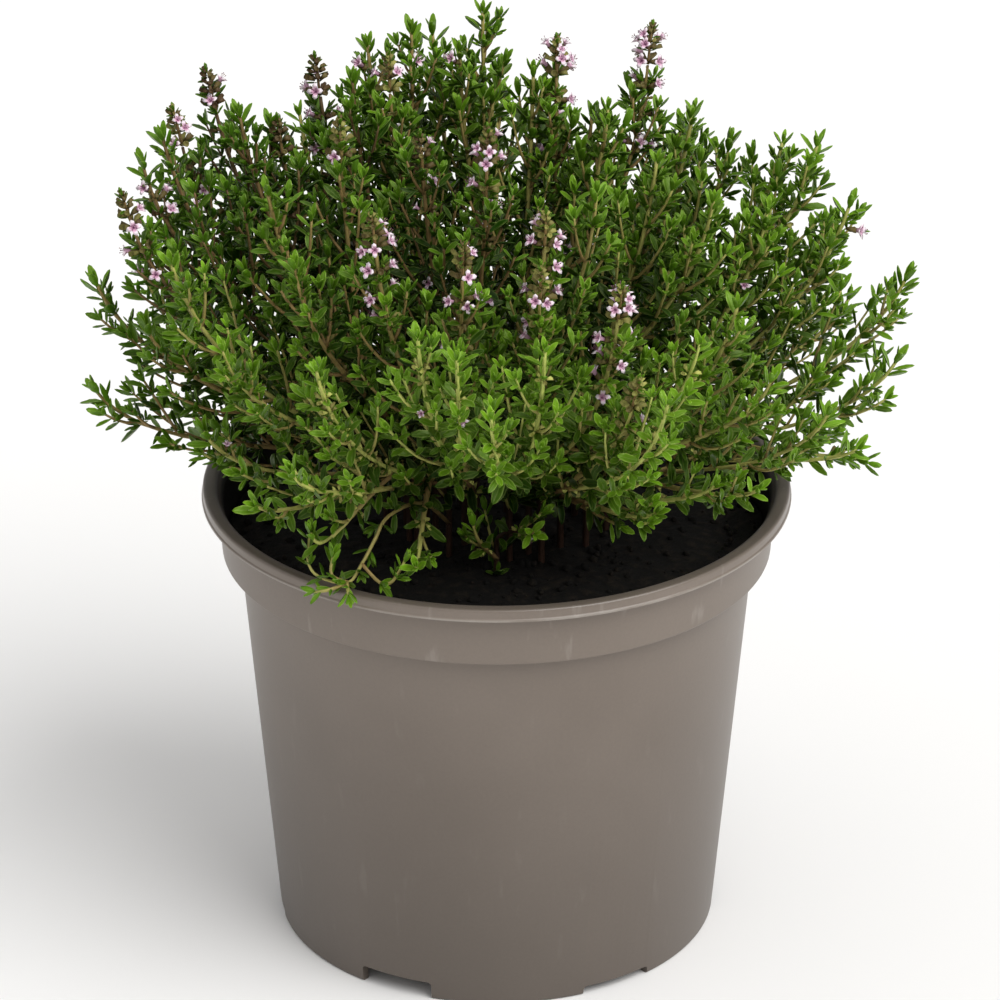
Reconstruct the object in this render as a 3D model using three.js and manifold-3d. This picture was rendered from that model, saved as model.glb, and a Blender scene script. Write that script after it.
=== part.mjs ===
// A flowering thyme bush in a round plastic grower's pot.
// Millimetres, +Z up, +X to the right and +Y to the back. The origin is on the pot's axis, at its feet.

import * as THREE from 'three';
import { mergeVertices } from 'three/addons/utils/BufferGeometryUtils.js';
import Module from 'manifold-3d';

const wasm = await Module();
wasm.setup();

// ---------------------------------------------------------------- driving dimensions

const pot = {
  height: 105,
  rimRadius: 65,
  rimInnerRadius: 62.2,
  lipHeight: 2.7,
  wall: 1.3,
  collarTopRadius: 61.6,
  collarFootRadius: 60.8,
  collarFootHeight: 90,
  bodyTopRadius: 57,
  footRadius: 49.2,
  floorHeight: 4.6, // underside of the floor, above the feet
  floorThickness: 1.6,
  footWall: 1.8,
  sides: 36,
};

const footNotch = { count: 6, firstDegrees: 3, wideDegrees: 20, tall: 4.2, low: 2.1 };
const drainHole = { radius: 3.5, fromAxis: 38, sides: 8 };

const soil = { level: 93.5, crown: 1.6, lump: 0.5, sides: 24, rings: 3, gap: 0.5 };

const stem = {
  width: 1.15, // square stems, from face to face
  rootDepth: 7,
  holeGap: 0.75,
  rootSpread: 0.28, // roots stand this share of the tips' distance from the axis
  forkAt: 0.34, // share of the main shoot below its first fork
  forkSpacing: 0.14,
  forkStep: 20,
  neck: 15, // straight up out of the peat for this far at most
};

const leaf = {
  length: 7.6,
  width: 2.9,
  thickness: 1.0,
  droop: 0.7,
  rootNarrowing: 0.8, // the root half is narrower than the tip half by this factor
  rootOffset: 0.25, // from the middle of the shoot
  pairSpacing: 8,
  pairs: 3, // on a side shoot; forks and top shoots have one less
  topLevel: 168,
  lowest: 0.3, // share of the shoot that stays bare
  mergeDistance: 0.03,
};

const flower = { length: 4, width: 4.6, lobes: 4, mouthDepth: 1.1 };
const bloom = { height: 9, coreRadius: 1.5, flowers: 4, firstHeight: 1.8, turnDegrees: 137, gap: 0.3, mergeDistance: 0.12 };

const clearance = 0.35; // between any two pieces of the plant

const colours = {
  plastic: 0x7b7268,
  peat: 0x16120e,
  leaf: 0x3f6d22,
  petal: 0xc9a3bd,
};

// Leafy stems, as the plant shows them. Each row has one root in the soil, and tips says where its shoots end,
// [right, back, up]. The first shoot comes from the root and the second forks from it.
// flowering names the shoots that end in a flower head, and sprawling those that sink to the rim and turn up again.
const leafyStems = [
  // left side
  { tips: [[-62, 10, 195], [-67.5, 2, 183]], flowering: [1] },
  { tips: [[-71, -8, 189], [-77, -18, 172], [-75, -12, 184]], flowering: [1] },
  { tips: [[-86.5, -5, 154], [-75, -21, 151]] },
  { tips: [[-86.5, -13, 132], [-72, 2, 122]] },
  { tips: [[-68, -37, 172], [-57, -50, 158]] },
  { tips: [[-62, -40, 135], [-50, -60, 127]] },
  // top, left of the middle
  { tips: [[-38.3, 19, 188], [-31, 8, 196]], flowering: [0] },
  { tips: [[-55, 0, 191], [-47, 9, 184]] },
  { tips: [[-28, 24, 198], [-23, 13, 191], [-18.5, 24, 201]], flowering: [1] },
  { tips: [[-48, -27, 184], [-42, -43, 174], [-33, -14, 193]] },
  // top
  { tips: [[-3, 28, 204], [-14, 37, 196], [-8, 20, 198]] },
  { tips: [[-16, -13, 189], [-2, -22, 188]], flowering: [1] },
  { tips: [[8, 14, 196], [24, 6, 190]] },
  { tips: [[21, 33, 178], [33, 25, 193], [13, 15, 194]], flowering: [1, 2] },
  { tips: [[43, 32, 178], [51, 20, 177]] },
  { tips: [[34, -14, 186], [46, -19, 179]] },
  // right side
  { tips: [[62, 12, 180], [69, 3, 183]] },
  { tips: [[76, -2, 171], [58, -8, 172]] },
  { tips: [[86, -17, 141], [77, -32, 127]] },
  { tips: [[88.5, -6, 156], [81, -6, 112]] },
  { tips: [[50, -50, 168], [57, -58, 155]] },
  { tips: [[70, -44, 141], [55, -50, 126]] },
  // front, upper
  { tips: [[-25, -46, 179], [-7, -52, 175]], flowering: [0, 1] },
  { tips: [[10, -43, 178], [9, -52, 170], [21, -32, 186]], flowering: [0, 1] },
  { tips: [[25, -60, 169], [28, -62, 150]], flowering: [0, 1] },
  // front, lower
  { tips: [[-16, -71, 170], [-8, -75, 167]] },
  { tips: [[10, -70, 167], [-1, -80, 156]] },
  { tips: [[35, -75, 157], [42, -58, 163]] },
  { tips: [[-37, -65, 160], [-42, -72, 140], [-39, -56, 119], [-17, -58, 112]], sprawling: [2, 3] },
  { tips: [[8, -40, 111], [-5, -39, 113]], root: [0, -26] },
  { tips: [[34, -50, 121], [46, -46, 125], [26, -36, 111]] },
];

// Stems at the back, by a rule: rows round the back half. Each shoot has a fork to either side,
// with its reach from the axis and its height.
const backRows = [
  { count: 4, fromDegrees: 22, toDegrees: 158, tips: [[85, 137], [79, 119], [75, 158]] },
  { count: 3, fromDegrees: 45, toDegrees: 135, tips: [[62, 173], [73, 162]] },
];
const backForkTurn = 12; // degrees between a back shoot and its forks

// ---------------------------------------------------------------- tools

const radians = THREE.MathUtils.degToRad;
const up = new THREE.Vector3(0, 0, 1);

// Repeatable draws from 0 to 1.
function makeDraw(seed) {
  let state = seed;
  return () => {
    state = (state * 48271) % 2147483647;
    return state / 2147483647;
  };
}

// A closed geometry as a solid.
function toSolid(geometry) {
  const bare = geometry.index ? geometry.toNonIndexed() : geometry.clone();
  bare.deleteAttribute('normal');
  bare.deleteAttribute('uv');
  const merged = mergeVertices(bare, 1e-4);
  return new wasm.Manifold(
    new wasm.Mesh({
      numProp: 3,
      vertProperties: new Float32Array(merged.attributes.position.array),
      triVerts: new Uint32Array(merged.index.array),
    }),
  );
}

function toGeometry(solid) {
  const mesh = solid.getMesh();
  const geometry = new THREE.BufferGeometry();
  geometry.setAttribute('position', new THREE.BufferAttribute(new Float32Array(mesh.vertProperties), 3));
  geometry.setIndex(new THREE.BufferAttribute(new Uint32Array(mesh.triVerts), 1));
  geometry.computeVertexNormals();
  return geometry;
}

// One solid from pieces that grow into each other. Corners nearer than mergeDistance fall together.
const union = (solids, mergeDistance) => solids.reduce((whole, piece) => whole.add(piece)).simplify(mergeDistance);

// A profile of [radius, height] pairs that starts and ends on the axis, or closes on itself, turned about +Z.
function lathe(profile, sides) {
  const points = profile.map(([radius, height]) => new THREE.Vector2(radius, height));
  return new THREE.LatheGeometry(points, sides).rotateX(Math.PI / 2);
}

// ---------------------------------------------------------------- pot

const bodyRadiusAt = (z) =>
  pot.footRadius + ((pot.bodyTopRadius - pot.footRadius) * z) / pot.collarFootHeight;

const potInside = {
  floor: pot.floorHeight + pot.floorThickness,
  ledge: pot.collarFootHeight + pot.wall,
};

function potProfile() {
  const { height, rimRadius, lipHeight, wall } = pot;
  const lipFoot = height - lipHeight;
  return [
    [0, pot.floorHeight],
    [bodyRadiusAt(0) - pot.footWall, pot.floorHeight],
    [bodyRadiusAt(0) - pot.footWall, 0],
    [bodyRadiusAt(0) - 0.3, 0],
    [bodyRadiusAt(0.8), 0.8],
    [pot.bodyTopRadius, pot.collarFootHeight],
    [pot.collarFootRadius, pot.collarFootHeight],
    [pot.collarTopRadius, lipFoot],
    [rimRadius, lipFoot],
    [rimRadius, height - 0.5],
    [rimRadius - 0.6, height],
    [pot.rimInnerRadius, height],
    [pot.collarTopRadius - wall, height - 1.4],
    [pot.collarFootRadius - wall, potInside.ledge],
    [pot.bodyTopRadius - wall, potInside.ledge],
    [bodyRadiusAt(potInside.floor) - wall, potInside.floor],
    [0, potInside.floor],
  ];
}

// A wedge of the foot ring, cut away as a drainage notch.
function notchWedge(middleDegrees, height) {
  const shape = new THREE.Shape();
  const half = radians(footNotch.wideDegrees / 2);
  const middle = radians(middleDegrees);
  shape.absarc(0, 0, pot.footRadius + 4, middle - half, middle + half, false);
  shape.absarc(0, 0, pot.footRadius - pot.footWall - 1, middle + half, middle - half, true);
  shape.closePath();
  const wedge = new THREE.ExtrudeGeometry(shape, { depth: height + 1, bevelEnabled: false, curveSegments: 3 });
  return wedge.translate(0, 0, -1);
}

function potSolid() {
  let solid = toSolid(lathe(potProfile(), pot.sides));
  for (let i = 0; i < footNotch.count; i++) {
    const middle = footNotch.firstDegrees + (360 / footNotch.count) * i;
    const height = i % 2 ? footNotch.low : footNotch.tall;
    solid = solid.subtract(toSolid(notchWedge(middle, height)));
    const hole = new THREE.CylinderGeometry(drainHole.radius, drainHole.radius, 8, drainHole.sides);
    hole.rotateX(Math.PI / 2);
    const at = radians(middle);
    hole.translate(drainHole.fromAxis * Math.cos(at), drainHole.fromAxis * Math.sin(at), pot.floorHeight);
    solid = solid.subtract(toSolid(hole));
  }
  return solid;
}

// ---------------------------------------------------------------- soil

// The peat's surface: a low crown in the middle, with lumps.
function soilTopAt(x, y) {
  const out = Math.hypot(x, y) / pot.bodyTopRadius;
  const lumps = Math.sin(0.31 * x + 1.3) * Math.cos(0.27 * y - 0.4) + 0.6 * Math.sin(0.53 * y + 0.21 * x);
  return soil.level + soil.crown * (1 - out * out) + soil.lump * lumps;
}

function soilSolid(roots) {
  const wallGap = pot.wall + soil.gap;
  const floor = potInside.floor + soil.gap;
  const ledge = potInside.ledge + soil.gap;
  const edge = pot.collarFootRadius - wallGap;
  const profile = [
    [0, floor],
    [bodyRadiusAt(potInside.floor) - wallGap - 0.3, floor],
    [pot.bodyTopRadius - wallGap - 0.3, ledge],
    [edge, ledge],
  ];
  for (let i = 0; i <= soil.rings; i++) profile.push([edge * (1 - i / soil.rings), soil.level]);
  const geometry = lathe(profile, soil.sides);
  const at = geometry.attributes.position;
  for (let i = 0; i < at.count; i++) {
    if (at.getZ(i) > soil.level - 0.01) at.setZ(i, soilTopAt(at.getX(i), at.getY(i)));
  }
  const holeRadius = (stem.width / 2) * Math.SQRT2 + stem.holeGap;
  let solid = toSolid(geometry);
  for (const root of roots) {
    const depth = stem.rootDepth + 2;
    const hole = new THREE.CylinderGeometry(holeRadius, holeRadius, depth + 6, 4).rotateX(Math.PI / 2);
    hole.translate(root.x, root.y, soil.level - depth + (depth + 6) / 2);
    solid = solid.subtract(toSolid(hole));
  }
  return solid;
}

// ---------------------------------------------------------------- shoots

const rootUnder = ([x, y]) => [x * stem.rootSpread, y * stem.rootSpread];

// A shoot is a path in straight steps. turn is how far its square section is turned about the path.
function makeShoot(path, steps, width, turn) {
  return { path, width, turn, steps, points: path.getSpacedPoints(steps), frames: path.computeFrenetFrames(steps) };
}

// From the soil: straight up out of its hole, then outwards and up to the tip. A low shoot first clears the rim.
function mainShoot(root, tip, turn) {
  const end = new THREE.Vector3(...tip);
  const rise = end.z - soil.level;
  const overRim = pot.height + 7;
  const bendHeight = Math.max(soil.level + 0.5 * rise, Math.min(overRim, end.z - 2));
  const bend = new THREE.Vector3(end.x * 0.86, end.y * 0.86, bendHeight);
  const neckHeight = Math.min(stem.neck, 0.45 * rise);
  const neck = root.clone().setZ(soil.level + neckHeight);
  const path = new THREE.CurvePath();
  path.add(new THREE.LineCurve3(root.clone().setZ(soil.level - stem.rootDepth), neck));
  path.add(new THREE.CubicBezierCurve3(neck, neck.clone().addScaledVector(up, neckHeight * 0.6), bend, end));
  const steps = Math.ceil(path.getLength() / (stem.rootDepth + neckHeight));
  return makeShoot(path, steps, stem.width, turn);
}

// A fork leaves the main shoot at a slant, sags a little and turns up to its tip.
function forkShoot(main, at, tip, sprawls, turn) {
  const from = pointOn(main, at);
  const end = new THREE.Vector3(...tip);
  const reach = end.distanceTo(from);
  const out = from.clone().lerp(end, 0.3).addScaledVector(up, sprawls ? reach * 0.15 : -reach * 0.03);
  const bend = from.clone().lerp(end, sprawls ? 0.9 : 0.88);
  if (sprawls) bend.z = Math.max(pot.height + 3, end.z - 15);
  else bend.z = from.z + 0.56 * (end.z - from.z);
  const path = new THREE.CubicBezierCurve3(from, out, bend, end);
  return makeShoot(path, Math.max(2, Math.round(path.getLength() / stem.forkStep)), stem.width * 0.9, turn);
}

// The point at u on the straight steps of a shoot.
function pointOn(shoot, u) {
  const step = Math.min(Math.floor(u * shoot.steps), shoot.steps - 1);
  return shoot.points[step].clone().lerp(shoot.points[step + 1], u * shoot.steps - step);
}

// The direction square to a shoot at u, turned by angle from the middle of its first face.
function sideOn(shoot, u, angle) {
  const step = Math.min(Math.floor(u * shoot.steps), shoot.steps);
  const { normals, binormals } = shoot.frames;
  const side = normals[step].clone().multiplyScalar(Math.cos(shoot.turn + angle));
  return side.addScaledVector(binormals[step], Math.sin(shoot.turn + angle));
}

// The square tube of a shoot.
function tube({ path, steps, width, turn }) {
  const section = new THREE.Shape();
  for (let i = 0; i < 4; i++) {
    const at = turn + Math.PI / 4 + (i * Math.PI) / 2;
    const corner = [Math.SQRT1_2 * width * Math.cos(at), Math.SQRT1_2 * width * Math.sin(at)];
    if (i) section.lineTo(...corner);
    else section.moveTo(...corner);
  }
  section.closePath();
  return new THREE.ExtrudeGeometry(section, { steps, extrudePath: path, bevelEnabled: false });
}

// One blade with its root at the origin, pointing along +Y, its upper face up: pointed at both ends,
// thick along the midrib, and drooping a little towards the tip.
function leafGeometry(size) {
  const geometry = new THREE.SphereGeometry(0.5, 3, 3);
  geometry.rotateY(Math.PI / 6 + Math.PI / 2).rotateY(Math.PI / 3);
  geometry.scale(leaf.width * size * 1.1, leaf.length * size, leaf.thickness);
  geometry.translate(0, (leaf.length * size) / 2, 0);
  const at = geometry.attributes.position;
  for (let i = 0; i < at.count; i++) {
    const share = at.getY(i) / (leaf.length * size);
    if (share < 0.5) at.setX(i, at.getX(i) * leaf.rootNarrowing);
    at.setZ(i, at.getZ(i) - leaf.droop * share * share);
  }
  return geometry;
}

// A leaf as placed: its root sunk in the shoot, leaning outwards from it by lean.
function placeLeaf(root, along, outwards, lean, size) {
  const direction = along.clone().multiplyScalar(Math.cos(lean)).addScaledVector(outwards, Math.sin(lean)).normalize();
  const across = direction.clone().cross(along).normalize();
  const face = across.clone().cross(direction);
  const matrix = new THREE.Matrix4().makeBasis(across, direction, face).setPosition(root);
  const tip = root.clone().addScaledVector(direction, leaf.length * size);
  return { matrix, root, tip, direction, size };
}

// Leaf pairs down the shoot from its tip, each pair a quarter turn from the last. A flowering shoot has no top pair.
function leavesOf(shoot, pairs, draw, flowering) {
  const length = shoot.path.getLength();
  const leaves = [];
  for (let k = 0; k < pairs; k++) {
    const down = 1.2 + leaf.pairSpacing * k * (0.75 + 0.25 * Math.min(k, 3));
    const u = 1 - down / length;
    if (u < leaf.lowest) break;
    const turn = radians(16) * (draw() - 0.5) + (k * Math.PI) / 2;
    const lean = radians(30 + 11 * Math.min(k, 3) + 6 * draw());
    const size = 0.9 + 0.2 * draw();
    if (flowering && k === 0) continue;
    for (const side of [0, Math.PI]) {
      const outwards = sideOn(shoot, u, turn + side);
      const root = pointOn(shoot, u).addScaledVector(outwards, leaf.rootOffset);
      leaves.push(placeLeaf(root, shoot.path.getTangentAt(u), outwards, lean, size));
    }
  }
  return leaves;
}

// ---------------------------------------------------------------- flower heads

// One trumpet-shaped flower: its tube's foot at the origin, its lobed mouth facing +Y.
function flowerGeometry() {
  const geometry = new THREE.ConeGeometry(1, flower.length, flower.lobes * 2, 1);
  geometry.rotateX(Math.PI).translate(0, flower.length / 2, 0);
  const at = geometry.attributes.position;
  for (let i = 0; i < at.count; i++) {
    const out = Math.hypot(at.getX(i), at.getZ(i));
    if (at.getY(i) < flower.length * 0.9) continue;
    if (out < 1e-6) {
      at.setY(i, flower.length - flower.mouthDepth);
      continue;
    }
    const turn = Math.atan2(at.getX(i), at.getZ(i));
    const radius = (flower.width / 2) * (0.8 + 0.2 * Math.cos(flower.lobes * turn));
    at.setX(i, (at.getX(i) / out) * radius);
    at.setZ(i, (at.getZ(i) / out) * radius);
  }
  return geometry;
}

// Flowers round a slim spindle of buds that carries on from the shoot's end.
function bloomSolid(shoot, draw) {
  const along = shoot.path.getTangentAt(1);
  const foot = pointOn(shoot, 1).addScaledVector(along, bloom.gap);
  const spindle = new THREE.CylinderGeometry(0.6, 0.9, bloom.height, 4, 2);
  const at = spindle.attributes.position;
  for (let i = 0; i < at.count; i++) {
    if (Math.abs(at.getY(i)) > 0.1) continue;
    const out = Math.hypot(at.getX(i), at.getZ(i));
    at.setX(i, (at.getX(i) / out) * bloom.coreRadius);
    at.setZ(i, (at.getZ(i) / out) * bloom.coreRadius);
  }
  spindle.translate(0, bloom.height / 2, 0);
  const basis = new THREE.Matrix4().makeBasis(sideOn(shoot, 1, Math.PI / 2), along, sideOn(shoot, 1, 0));
  spindle.applyMatrix4(basis.setPosition(foot));
  const pieces = [toSolid(spindle)];
  for (let i = 0; i < bloom.flowers; i++) {
    const share = i / (bloom.flowers - 1);
    const turn = radians(bloom.turnDegrees * i + 40 * draw());
    const outwards = sideOn(shoot, 1, turn);
    const lean = radians(72 - 34 * share);
    const facing = along.clone().multiplyScalar(Math.cos(lean)).addScaledVector(outwards, Math.sin(lean));
    const across = facing.clone().cross(along).normalize();
    const place = new THREE.Matrix4().makeBasis(across, facing, across.clone().cross(facing));
    place.setPosition(foot.clone().addScaledVector(along, bloom.firstHeight + share * bloom.height * 0.6));
    pieces.push(toSolid(flowerGeometry().applyMatrix4(place)));
  }
  return union(pieces, bloom.mergeDistance);
}

// ---------------------------------------------------------------- keeping clear

// Every placed piece of the plant as a straight rod with a radius, for telling what would touch what.
const placed = [];

function distanceBetween(a, b) {
  const d1 = a.end.clone().sub(a.start);
  const d2 = b.end.clone().sub(b.start);
  const r = a.start.clone().sub(b.start);
  const a11 = d1.dot(d1);
  const a22 = d2.dot(d2);
  const a12 = d1.dot(d2);
  const c1 = d1.dot(r);
  const c2 = d2.dot(r);
  const det = a11 * a22 - a12 * a12;
  const clamp = (v) => Math.min(1, Math.max(0, v));
  let s = det > 1e-9 ? clamp((a12 * c2 - c1 * a22) / det) : 0;
  const t = clamp((a12 * s + c2) / a22);
  s = clamp((a12 * t - c1) / a11);
  return a.start.clone().addScaledVector(d1, s).distanceTo(b.start.clone().addScaledVector(d2, t));
}

function clearOfOthers(rod, owner, among = placed) {
  return among.every(
    (other) => other.owner === owner || distanceBetween(rod, other) > rod.radius + other.radius + clearance,
  );
}

// True where a rod stays off the peat and the pot's rim.
function clearOfPot(rod) {
  for (const share of [0, 0.25, 0.5, 0.75, 1]) {
    const p = rod.start.clone().lerp(rod.end, share);
    const out = Math.hypot(p.x, p.y);
    const lowest = p.z - rod.radius - clearance;
    if (out < pot.rimInnerRadius - 3 && lowest < soil.level + 2.2) return false;
    if (out >= pot.rimInnerRadius - 3 && out < pot.rimRadius + 2 && lowest < pot.height) return false;
  }
  return true;
}

function rodsAlong({ points, width }, owner) {
  return points.slice(1).map((end, i) => ({ start: points[i], end, radius: width * 0.7, owner }));
}

// ---------------------------------------------------------------- the plant

function backStems() {
  const rows = [];
  const draw = makeDraw(4242);
  for (const row of backRows) {
    for (let i = 0; i < row.count; i++) {
      const degrees = row.fromDegrees + ((row.toDegrees - row.fromDegrees) * i) / (row.count - 1);
      const tips = row.tips.map(([reach, height], n) => {
        const side = (n + i) % 2 ? 1 : -1;
        const at = radians(degrees + (n ? side * backForkTurn : 0));
        return [reach * Math.cos(at), reach * Math.sin(at), height + 6 * (draw() - 0.5)];
      });
      rows.push({ tips });
    }
  }
  return rows;
}

const stemRows = [...leafyStems, ...backStems()];

const plants = stemRows.map(({ tips, flowering = [], sprawling = [], root = rootUnder(tips[0]) }, index) => {
  const owner = `stem_${String(index + 1).padStart(2, '0')}`;
  const draw = makeDraw(1000 + 37 * index);
  const foot = new THREE.Vector3(...root, soil.level);
  const main = mainShoot(foot, tips[0], draw() * Math.PI);
  const forks = tips.slice(1).map((tip, n) => {
    const at = stem.forkAt + stem.forkSpacing * (n % 2);
    return forkShoot(main, at, tip, sprawling.includes(n + 1), draw() * Math.PI);
  });
  const shoots = [main, ...forks];
  return { owner, shoots, flowering, foot, draw };
});

// Shoots and flower heads take their places first, and then the leaves that stay clear of every other stem.
for (const plant of plants) {
  for (const shoot of plant.shoots) placed.push(...rodsAlong(shoot, plant.owner));
  for (const n of plant.flowering) {
    const shoot = plant.shoots[n];
    const end = pointOn(shoot, 1);
    const top = end.clone().addScaledVector(shoot.path.getTangentAt(1), bloom.height);
    placed.push({ start: end, end: top, radius: flower.length * 0.95, owner: plant.owner });
  }
}

function stemSolid(plant) {
  const pieces = [];
  for (const [n, shoot] of plant.shoots.entries()) {
    pieces.push(toSolid(tube(shoot)));
    const pairs = n || pointOn(shoot, 1).z > leaf.topLevel ? leaf.pairs - 1 : leaf.pairs;
    for (const blade of leavesOf(shoot, pairs, plant.draw, plant.flowering.includes(n))) {
      const rod = {
        start: blade.root.clone().addScaledVector(blade.direction, 1.5),
        end: blade.tip,
        radius: leaf.width * 0.42,
        owner: plant.owner,
      };
      if (!clearOfOthers(rod, plant.owner) || !clearOfPot(rod)) continue;
      placed.push(rod);
      pieces.push(toSolid(leafGeometry(blade.size).applyMatrix4(blade.matrix)));
    }
  }
  return union(pieces, leaf.mergeDistance);
}

// ---------------------------------------------------------------- assembly

function material(colour, roughness) {
  return new THREE.MeshStandardMaterial({ color: colour, roughness, metalness: 0 });
}

const materials = {
  plastic: material(colours.plastic, 0.42),
  peat: material(colours.peat, 0.95),
  leaf: material(colours.leaf, 0.55),
  petal: material(colours.petal, 0.6),
};

const pottedThyme = new THREE.Group();

function addPiece(name, solid, finish) {
  const mesh = new THREE.Mesh(toGeometry(solid), finish);
  mesh.name = name;
  pottedThyme.add(mesh);
}

addPiece('pot', potSolid(), materials.plastic);
addPiece('soil', soilSolid(plants.map((plant) => plant.foot)), materials.peat);
for (const plant of plants) addPiece(plant.owner, stemSolid(plant), materials.leaf);
for (const plant of plants) {
  for (const n of plant.flowering) {
    const name = plant.owner.replace('stem', 'bloom') + 'abc'[n];
    addPiece(name, bloomSolid(plant.shoots[n], plant.draw), materials.petal);
  }
}

export default pottedThyme;
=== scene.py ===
import math
from bisect import bisect_right
from itertools import accumulate

import bmesh
import bpy
from mathutils import Matrix, Vector, noise
from mathutils.geometry import interpolate_bezier


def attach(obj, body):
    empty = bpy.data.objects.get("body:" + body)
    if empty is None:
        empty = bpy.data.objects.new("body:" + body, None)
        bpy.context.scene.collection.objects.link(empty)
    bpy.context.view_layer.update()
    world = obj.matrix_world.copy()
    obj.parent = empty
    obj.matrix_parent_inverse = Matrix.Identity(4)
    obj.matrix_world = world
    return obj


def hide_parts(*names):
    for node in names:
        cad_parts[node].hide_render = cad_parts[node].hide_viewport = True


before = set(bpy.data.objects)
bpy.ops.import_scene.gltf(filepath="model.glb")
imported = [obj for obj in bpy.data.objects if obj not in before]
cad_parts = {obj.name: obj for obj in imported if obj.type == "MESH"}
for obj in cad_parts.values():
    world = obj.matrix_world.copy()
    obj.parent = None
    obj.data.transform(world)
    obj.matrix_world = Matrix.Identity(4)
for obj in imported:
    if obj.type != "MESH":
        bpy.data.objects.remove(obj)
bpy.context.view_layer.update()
mm = 0.001
up = Vector((0, 0, 1))


def makeDraw(seed):
    # repeatable draws from 0 to 1, the same rule as in the part
    state = [seed]

    def draw(low=0.0, high=1.0):
        state[0] = state[0] * 48271 % 2147483647
        return low + (high - low) * state[0] / 2147483647

    return draw


def pick(draw, choices):
    # one of them, by a draw
    return choices[int(draw(0, len(choices) - 0.01))]


def linear(red, green, blue):
    # a colour as read off a screen, 0 to 255, for a shader socket
    parts = [c / 255 for c in (red, green, blue)]
    return [c / 12.92 if c <= 0.04045 else ((c + 0.055) / 1.055) ** 2.4 for c in parts] + [1]


def mixed(ends, share):
    return ends[0] + (ends[1] - ends[0]) * share


def outwardsAt(turn):
    # the level direction at a turn from +X
    return Vector((math.cos(turn), math.sin(turn), 0))


def keepMesh(name, bm):
    mesh = bpy.data.meshes.new(name)
    bm.to_mesh(mesh)
    bm.free()
    return mesh


def addObject(name, data):
    made = bpy.data.objects.new(name, data)
    bpy.context.scene.collection.objects.link(made)
    return made


def addCone(bm, sides, depth, footRadius, topRadius, where=Matrix.Identity(4)):
    radii = {"radius1": footRadius, "radius2": topRadius}
    bmesh.ops.create_cone(bm, cap_ends=True, segments=sides, depth=depth, matrix=where, **radii)


def useSlot(bm, slot, start=0):
    # the material of all faces made since start
    bm.faces.ensure_lookup_table()
    for face in bm.faces[start:]:
        face.material_index = slot


# what each material is coloured with, as read off a screen
materialColours = {
    "plastic": (119, 108, 98),
    "plasticDark": (112, 101, 91),
    # pale scuffs, and the painted highlight along the lip's lower edge
    "plasticScuffAndHighlight": (206, 202, 194),
    "peat": (13, 11, 8),
    "peatCrumb": (33, 27, 20),
    "leafOld": (27, 66, 0),
    "leafYoung": (114, 158, 28),
    # leaf undersides, darkened as painted shade
    "leafUnderShaded": (56, 92, 20),
    # a paler midrib, and the painted highlight along the leaf margins
    "leafRibAndHighlight": (202, 220, 122),
    "barkGreen": (184, 194, 100),
    "barkTan": (146, 120, 74),
    "barkBrown": (58, 38, 27),
    "calyxOlive": (182, 184, 96),
    "calyxBrown": (78, 58, 32),
    "petal": (250, 237, 243),
    "petalDeep": (222, 174, 200),
    "throat": (120, 62, 100),
    "anther": (104, 56, 84),
}
colour = {name: linear(*rgb) for name, rgb in materialColours.items()}


class Shader:
    # a material and short ways to add nodes to it
    def __init__(self, name, roughness, specular=0.5):
        self.material = bpy.data.materials.new(name)
        self.material.use_nodes = True
        self.tree = self.material.node_tree
        self.surface = self.tree.nodes["Principled BSDF"]
        self.surface.inputs["Roughness"].default_value = roughness
        self.surface.inputs["Specular IOR Level"].default_value = specular

    def node(self, kind, inputs, **settings):
        made = self.tree.nodes.new("ShaderNode" + kind)
        for key, value in settings.items():
            setattr(made, key, value)
        for key, value in inputs.items():
            self.plug(value, made.inputs[key])
        return made

    def plug(self, source, target):
        if isinstance(source, bpy.types.NodeSocket):
            self.tree.links.new(source, target)
        else:
            target.default_value = source

    def place(self):
        return self.node("TexCoord", {}).outputs["Object"]

    def noise(self, scale, detail=3, where=None):
        # a pattern on the object's own coordinates, or on others
        inputs = {"Scale": scale, "Detail": detail, "Vector": where or self.place()}
        return self.node("TexNoise", inputs).outputs["Fac"]

    def fade(self, value, low, high):
        # 0 below low and 1 above high, or the other way round
        bounds = {"From Min": min(low, high), "From Max": max(low, high)}
        ends = {"To Min": int(low > high), "To Max": int(low < high)}
        settings = {"interpolation_type": "SMOOTHSTEP"}
        return self.node("MapRange", {"Value": value, **bounds, **ends}, **settings).outputs["Result"]

    def maths(self, operation, *values):
        return self.node("Math", dict(enumerate(values)), operation=operation).outputs[0]

    def times(self, first, second):
        return self.maths("MULTIPLY", first, second)

    def mix(self, share, first, second):
        return self.node("Mix", {"Factor": share, 6: first, 7: second}, data_type="RGBA").outputs[2]

    def vary(self, base, value, amount, middle=0.5):
        # the colour lighter where the value is above its middle, and darker below
        brightness = self.maths("MULTIPLY_ADD", value, amount, 1 - middle * amount)
        return self.node("HueSaturation", {"Color": base, "Value": brightness}).outputs["Color"]

    def bump(self, height, strength, distance):
        made = self.node("Bump", {"Strength": strength, "Distance": distance, "Height": height})
        self.plug(made.outputs["Normal"], self.surface.inputs["Normal"])

    def colourBy(self, source):
        self.plug(source, self.surface.inputs["Base Color"])

    def growth(self):
        # what each leaf and stem carries: place along it, place across it, age, and a tone that varies at
        # random and carries painted shade
        made = self.node("Attribute", {}, attribute_name="growth")
        red, green, blue = self.node("SeparateColor", {"Color": made.outputs["Color"]}).outputs
        return {"along": red, "across": green, "age": blue, "toneAndShade": made.outputs["Alpha"]}


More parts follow.
